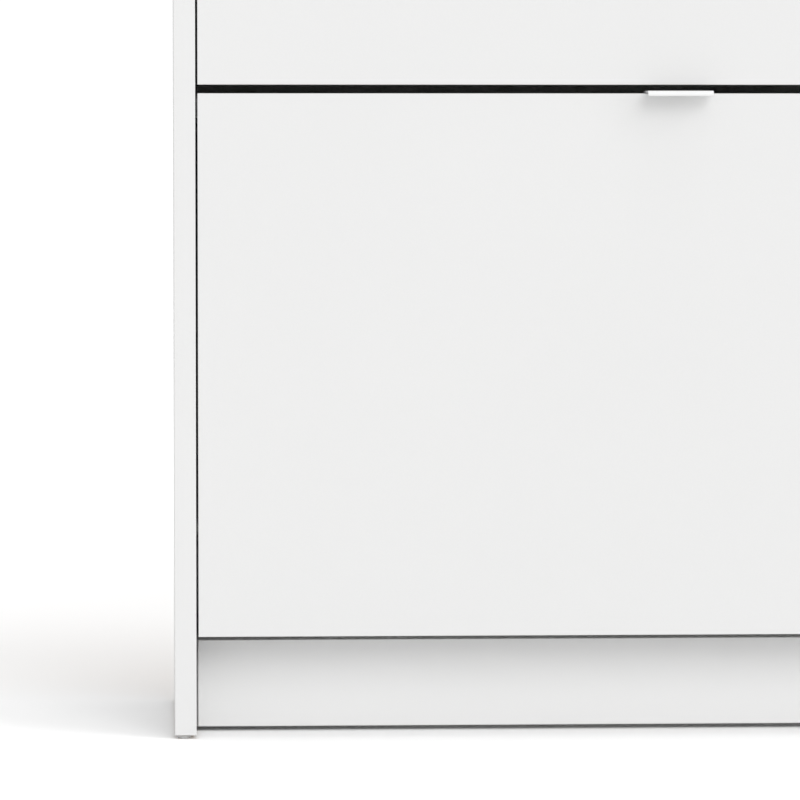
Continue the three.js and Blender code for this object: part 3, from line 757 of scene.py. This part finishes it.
def add_handles():
    """A strip bent over the door's top edge: lip in front, leg with two screws behind."""
    for row in ROWS:
        node = row + "_handle"
        low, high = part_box(node)
        front, back, top = low[1] / MM, high[1] / MM, high[2] / MM
        points = fillet([
            (front, top - HANDLE_LIP, HANDLE_CORNER),
            (front + HANDLE_SHEET, top - HANDLE_LIP, HANDLE_CORNER),
            (front + HANDLE_SHEET, top - HANDLE_SHEET, HANDLE_BEND_INNER),
            (back - HANDLE_SHEET, top - HANDLE_SHEET, HANDLE_BEND_INNER),
            (back - HANDLE_SHEET, top - HANDLE_LEG, HANDLE_CORNER),
            (back, top - HANDLE_LEG, HANDLE_CORNER),
            (back, top, HANDLE_BEND_OUTER),
            (front, top, HANDLE_BEND_OUTER),
        ])
        bm = bmesh.new()
        face = bm.faces.new([bm.verts.new((low[0], y * MM, z * MM)) for y, z in points])
        extruded = bmesh.ops.extrude_face_region(bm, geom=[face])
        moved = [item for item in extruded["geom"] if isinstance(item, bmesh.types.BMVert)]
        bmesh.ops.translate(bm, vec=(high[0] - low[0], 0, 0), verts=moved)
        bmesh.ops.recalc_face_normals(bm, faces=bm.faces)
        rims = [edge for edge in bm.edges if edge.calc_face_angle(0) > HANDLE_RIM_ANGLE
                and abs(edge.verts[0].co.x - edge.verts[1].co.x) < WELD]
        bmesh.ops.bevel(bm, geom=rims, offset=HANDLE_RIM_ROUND * MM, offset_type="OFFSET", segments=2,
                        profile=0.5, affect="EDGES", clamp_overlap=False)
        mesh = finish_mesh(bm, node + "_strip", CURVED_HARD_ANGLE)
        weighted(new_piece(node + "_strip", mesh, node, (COAT,)))


# ---------------------------------------------------------------- rack

def quadratic(start, control, end, steps):
    """Points on a quadratic curve, without its start."""
    shares = [i / steps for i in range(1, steps + 1)]
    return [tuple((1 - t) ** 2 * a + 2 * t * (1 - t) * b + t ** 2 * c
                  for a, b, c in zip(start, control, end)) for t in shares]


def rack_outline():
    """The side's fan shape: along the foot, up the rear divider, over the mouths, down the door."""
    outline = [(DOOR_SIDE, RACK_FOOT)]
    for start, control, end in RACK_CORNERS:
        outline += [start] + quadratic(start, control, end, 6)
    return outline + quadratic(outline[-1], MOUTH_DIP, (DOOR_SIDE, RACK_TOP), 24)


def offset(points, distance):
    """The closed anticlockwise outline moved inwards, or outwards if the distance is negative."""
    moved = []
    count = len(points)
    for i, point in enumerate(points):
        here = Vector(point)
        arriving = (here - Vector(points[i - 1])).normalized()
        leaving = (Vector(points[(i + 1) % count]) - here).normalized()
        normals = Vector((-arriving.y, arriving.x)), Vector((-leaving.y, leaving.x))
        both = normals[0] + normals[1]
        moved.append(tuple(here + both * distance / (1 + normals[0].dot(normals[1]))))
    return moved


def window_outline(y, z, turn, length, width, grow=0.0):
    """A rounded rectangle about (y, z), turned by some degrees and made larger all round."""
    u, v = length / 2 - WINDOW_CORNER, width / 2 - WINDOW_CORNER
    radius = WINDOW_CORNER + grow
    corners = (arc((u, v), radius, 0, 90, 8) + arc((-u, v), radius, 90, 180, 8)
               + arc((-u, -v), radius, 180, 270, 8) + arc((u, -v), radius, 270, 360, 8))
    c, s = math.cos(math.radians(turn)), math.sin(math.radians(turn))
    return [(y + c * a - s * b, z + s * a + c * b) for a, b in corners]


def slot_outline(grow=0.0):
    """The slot, bent round the pivot, that the stop peg runs along."""
    start, end = (math.degrees(a) for a in PEG_SLOT_ARC)
    half = PEG_SLOT_HALF + grow
    centre = [(PEG_ORBIT * math.cos(a), PEG_ORBIT * math.sin(a)) for a in PEG_SLOT_ARC]
    return (arc((0, 0), PEG_ORBIT + half, start, end, 20)
            + arc(centre[1], half, end, end + 180, 12)[1:-1]
            + arc((0, 0), PEG_ORBIT - half, end, start, 20)
            + arc(centre[0], half, start + 180, start + 360, 12)[1:-1])


def boss_outline(radius):
    """A circle cut flat by the door's back."""
    cut = math.degrees(math.acos(DOOR_SIDE / radius))
    return arc((0, 0), radius, -cut, cut, 40)


def plate(outlines, near, far, soft=0.4):
    """A flat plate with holes, its edges rounded, from X = near to X = far, as a mesh.

    The first outline is the rim and the others are holes. Points are (y, z) in millimetres."""
    curve = bpy.data.curves.new("plate", "CURVE")
    curve.dimensions = "2D"
    curve.fill_mode = "BOTH"
    curve.extrude = ((far - near) / 2 - soft) * MM
    curve.bevel_depth = soft * MM
    curve.bevel_resolution = 2
    curve.offset = -soft * MM
    for points in outlines:
        spline = curve.splines.new("POLY")
        spline.points.add(len(points) - 1)
        for corner, (y, z) in zip(spline.points, points):
            corner.co = (y * MM, z * MM, 0, 1)
        spline.use_cyclic_u = True
    holder = bpy.data.objects.new("plate", curve)
    bpy.context.scene.collection.objects.link(holder)
    graph = bpy.context.evaluated_depsgraph_get()
    mesh = bpy.data.meshes.new_from_object(holder.evaluated_get(graph))
    bpy.data.objects.remove(holder)
    upright = Matrix(((0, 0, 1, (near + far) / 2 * MM), (1, 0, 0, 0), (0, 1, 0, 0), (0, 0, 0, 1)))
    mesh.transform(upright)
    return mesh


def bar(low, high, turn=0.0, origin=(0, 0), soft=0.3):
    """A box between two corners in millimetres, turned about X at the origin, its edges rounded."""
    bm = bmesh.new()
    bmesh.ops.create_cube(bm, size=1)
    size = [(b - a) * MM for a, b in zip(low, high)]
    middle = [(a + b) / 2 * MM for a, b in zip(low, high)]
    bmesh.ops.scale(bm, vec=size, verts=bm.verts)
    bmesh.ops.translate(bm, vec=middle, verts=bm.verts)
    bmesh.ops.bevel(bm, geom=bm.edges[:], offset=soft * MM, offset_type="OFFSET", segments=2,
                    profile=0.5, affect="EDGES", clamp_overlap=True)
    shift = Matrix.Translation((0, origin[0] * MM, origin[1] * MM))
    bmesh.ops.transform(bm, matrix=shift @ Matrix.Rotation(turn, 4, "X"), verts=bm.verts)
    mesh = bpy.data.meshes.new("bar")
    bm.to_mesh(mesh)
    bm.free()
    return mesh


def channel_walls(y, z, rise, length):
    """The two walls and the end stop that hold one shelf's end."""
    near, far = PLATE_INNER - CHANNEL_DEPTH, PLATE_INNER + ROOT
    half = SHELF_BOARD / 2 + TOUCH_GAP
    outer, end = half + CHANNEL_WALL, length + CHANNEL_WALL
    return [
        bar((near, 0, half), (far, end, outer), rise, (y, z)),
        bar((near, 0, -outer), (far, end, -half), rise, (y, z)),
        bar((near, length + TOUCH_GAP, -outer), (far, end, outer), rise, (y, z)),
    ]


def flange():
    """The strip that is screwed to the door's back, with two screw holes and a notch for the pin."""
    free_edge, plate_edge = FLANGE_CORNERS
    outer = PLATE_INNER + PLATE
    edge = [(FLANGE_INNER, RACK_FOOT, free_edge), (outer, RACK_FOOT, plate_edge),
            (outer, -PIN_NOTCH, 0), (BOSS_FACES[0], -PIN_NOTCH, 0),
            (BOSS_FACES[0], PIN_NOTCH, 0), (outer, PIN_NOTCH, 0),
            (outer, FLANGE_TOP, plate_edge), (FLANGE_INNER, FLANGE_TOP, free_edge)]
    holes = [arc((FLANGE_SCREW_X, z), FLANGE_HOLE, 0, 345, 23) for z in FLANGE_SCREWS]
    strip = plate([fillet(edge)] + holes, DOOR_SIDE, DOOR_SIDE + PLATE)
    strip.transform(Matrix(((0, 1, 0, 0), (1, 0, 0, 0), (0, 0, 1, 0), (0, 0, 0, 1))))
    strip.flip_normals()
    return strip


def gussets():
    """Small ribs between flange and plate."""
    low = (PLATE_INNER - GUSSET_REACH, DOOR_SIDE + PLATE - GUSSET_ROOT)
    high = (PLATE_INNER + GUSSET_ROOT, GUSSET_BACK)
    return [bar((*low, z - GUSSET_HALF), (*high, z + GUSSET_HALF)) for z in GUSSET_HEIGHTS]


def rack_side_mesh():
    """The right-hand side of the rack about its pivot: plate, rim, ribs, channels, flange and boss."""
    outline = rack_outline()
    windows = [window_outline(*window) for window in WINDOWS]
    window_ribs = [window_outline(*window, grow=RIB) for window in WINDOWS]
    bore = arc((0, 0), BORE_RADIUS, 0, 354, 59)
    inner, clear = DOOR_SIDE + RIM, -BORE_RADIUS
    rim_inside = offset(outline, RIM) + [
        (inner, PIN_NOTCH), (clear, PIN_NOTCH), (clear, -PIN_NOTCH), (inner, -PIN_NOTCH)]
    rooted = PLATE_INNER + ROOT
    parts = [
        plate([outline, *windows, slot_outline(), bore], PLATE_INNER, PLATE_INNER + PLATE),
        plate([outline, rim_inside], PLATE_INNER - RIM_DEPTH, rooted),
        plate([slot_outline(RIB), slot_outline()], PLATE_INNER - RIB_DEPTH, rooted),
        plate([boss_outline(BOSS_RADIUS), bore], *BOSS_FACES, soft=0.6),
        flange(),
        *gussets(),
    ]
    for outside, inside in zip(window_ribs, windows):
        parts.append(plate([outside, inside], PLATE_INNER - RIB_DEPTH, rooted))
    for shelf in SHELVES.values():
        parts += channel_walls(*shelf)
    bm = bmesh.new()
    for part in parts:
        bm.from_mesh(part)
        bpy.data.meshes.remove(part)
    bmesh.ops.remove_doubles(bm, verts=bm.verts, dist=RACK_WELD)
    return bm


def add_racks():
    right = rack_side_mesh()
    for row in ROWS:
        for side in SIDES:
            node = f"{row}_rack_side_{side}"
            bm = right.copy()
            place(bm, sideways(side, pivot(row)))
            mesh = finish_mesh(bm, node + "_moulding", CURVED_HARD_ANGLE)
            weighted(new_piece(node + "_moulding", mesh, node, (PLASTIC,)))
        for shelf in SHELVES:
            thin_board(f"{row}_{shelf}")
    right.free()


# ---------------------------------------------------------------- boards

def add_boards():
    for side in SIDES:
        board(f"side_panel_{side}", "X", ("+Y", "-Z", "+Z"))
    board("top_panel", "Z", ("+Y",))
    board("bottom_panel", "Z", ("+Y", "-X", "+X"))
    # The plinth takes the lightened foil, which is painted light over its shade under the doors
    board("plinth", "Y", ("-X", "+X"), PLINTH_PAINTED_LIGHT_FOIL, inside=BAND_SIDE)
    board("middle_rail", "Z", ("+Y", "-X", "+X"))
    board("top_front_rail", "Z", ("+Y", "-X", "+X"))
    board("top_rear_rail", "Y", ("+Z", "-X", "+X"))
    for row in ROWS:
        board(row + "_door", "Y")
    thin_board("back_panel", ("+Y",))


# ---------------------------------------------------------------- studio

def add_floor():
    bm = bmesh.new()
    bmesh.ops.create_circle(bm, cap_ends=True, segments=96, radius=FLOOR_RADIUS)
    mesh = bpy.data.meshes.new("studio_floor")
    bm.to_mesh(mesh)
    bm.free()
    mesh.materials.append(floor_paint())
    floor = bpy.data.objects.new("studio_floor", mesh)
    bpy.context.scene.collection.objects.link(floor)


def add_sun(name, azimuth, elevation, spread_angle, strength):
    """A distant soft light. Azimuth 0 comes from the front and 90 from the right, in degrees."""
    data = bpy.data.lights.new(name, "SUN")
    data.angle = math.radians(spread_angle)
    data.energy = strength
    turn, rise = math.radians(azimuth), math.radians(elevation)
    level = math.cos(rise)
    towards = Vector((math.sin(turn) * level, -math.cos(turn) * level, math.sin(rise)))
    light = bpy.data.objects.new(name, data)
    light.rotation_euler = towards.to_track_quat("Z", "Y").to_euler()
    bpy.context.scene.collection.objects.link(light)


def add_world():
    """An even white surround, which looks brighter to the camera than it lights the scene."""
    world = bpy.data.worlds.new("studio")
    world.use_nodes = True
    tree = world.node_tree
    lighting = tree.nodes["Background"]
    lighting.inputs["Color"].default_value = (1, 1, 1, 1)
    lighting.inputs["Strength"].default_value = WORLD_STRENGTH
    seen = add_node(tree, "ShaderNodeBackground", {"Color": (1, 1, 1, 1), "Strength": WORLD_SEEN})
    path = add_node(tree, "ShaderNodeLightPath")
    choice = add_node(tree, "ShaderNodeMixShader", {"Fac": path.outputs["Is Camera Ray"]})
    tree.links.new(lighting.outputs["Background"], choice.inputs[1])
    tree.links.new(seen.outputs["Background"], choice.inputs[2])
    tree.links.new(choice.outputs["Shader"], tree.nodes["World Output"].inputs["Surface"])
    bpy.context.scene.world = world


def add_camera():
    data = bpy.data.cameras.new("camera")
    data.lens = CAMERA_LENS
    data.clip_end = CAMERA_SEES_TO
    camera = bpy.data.objects.new("camera", data)
    camera.location = CAMERA_PLACE
    towards = Vector(CAMERA_AIM) - Vector(CAMERA_PLACE)
    camera.rotation_euler = towards.to_track_quat("-Z", "Y").to_euler()
    bpy.context.scene.collection.objects.link(camera)
    bpy.context.scene.camera = camera


def add_studio():
    add_floor()
    add_world()
    for light in SUNS:
        add_sun(*light)
    settings = bpy.context.scene.view_settings
    settings.view_transform = "Standard"
    settings.look = "None"
    settings.exposure = 0
    settings.gamma = 1


add_camera()
add_studio()
add_boards()
add_racks()
add_handles()
add_pins()
add_glides()
add_bumpers()
add_screws()
add_brackets()
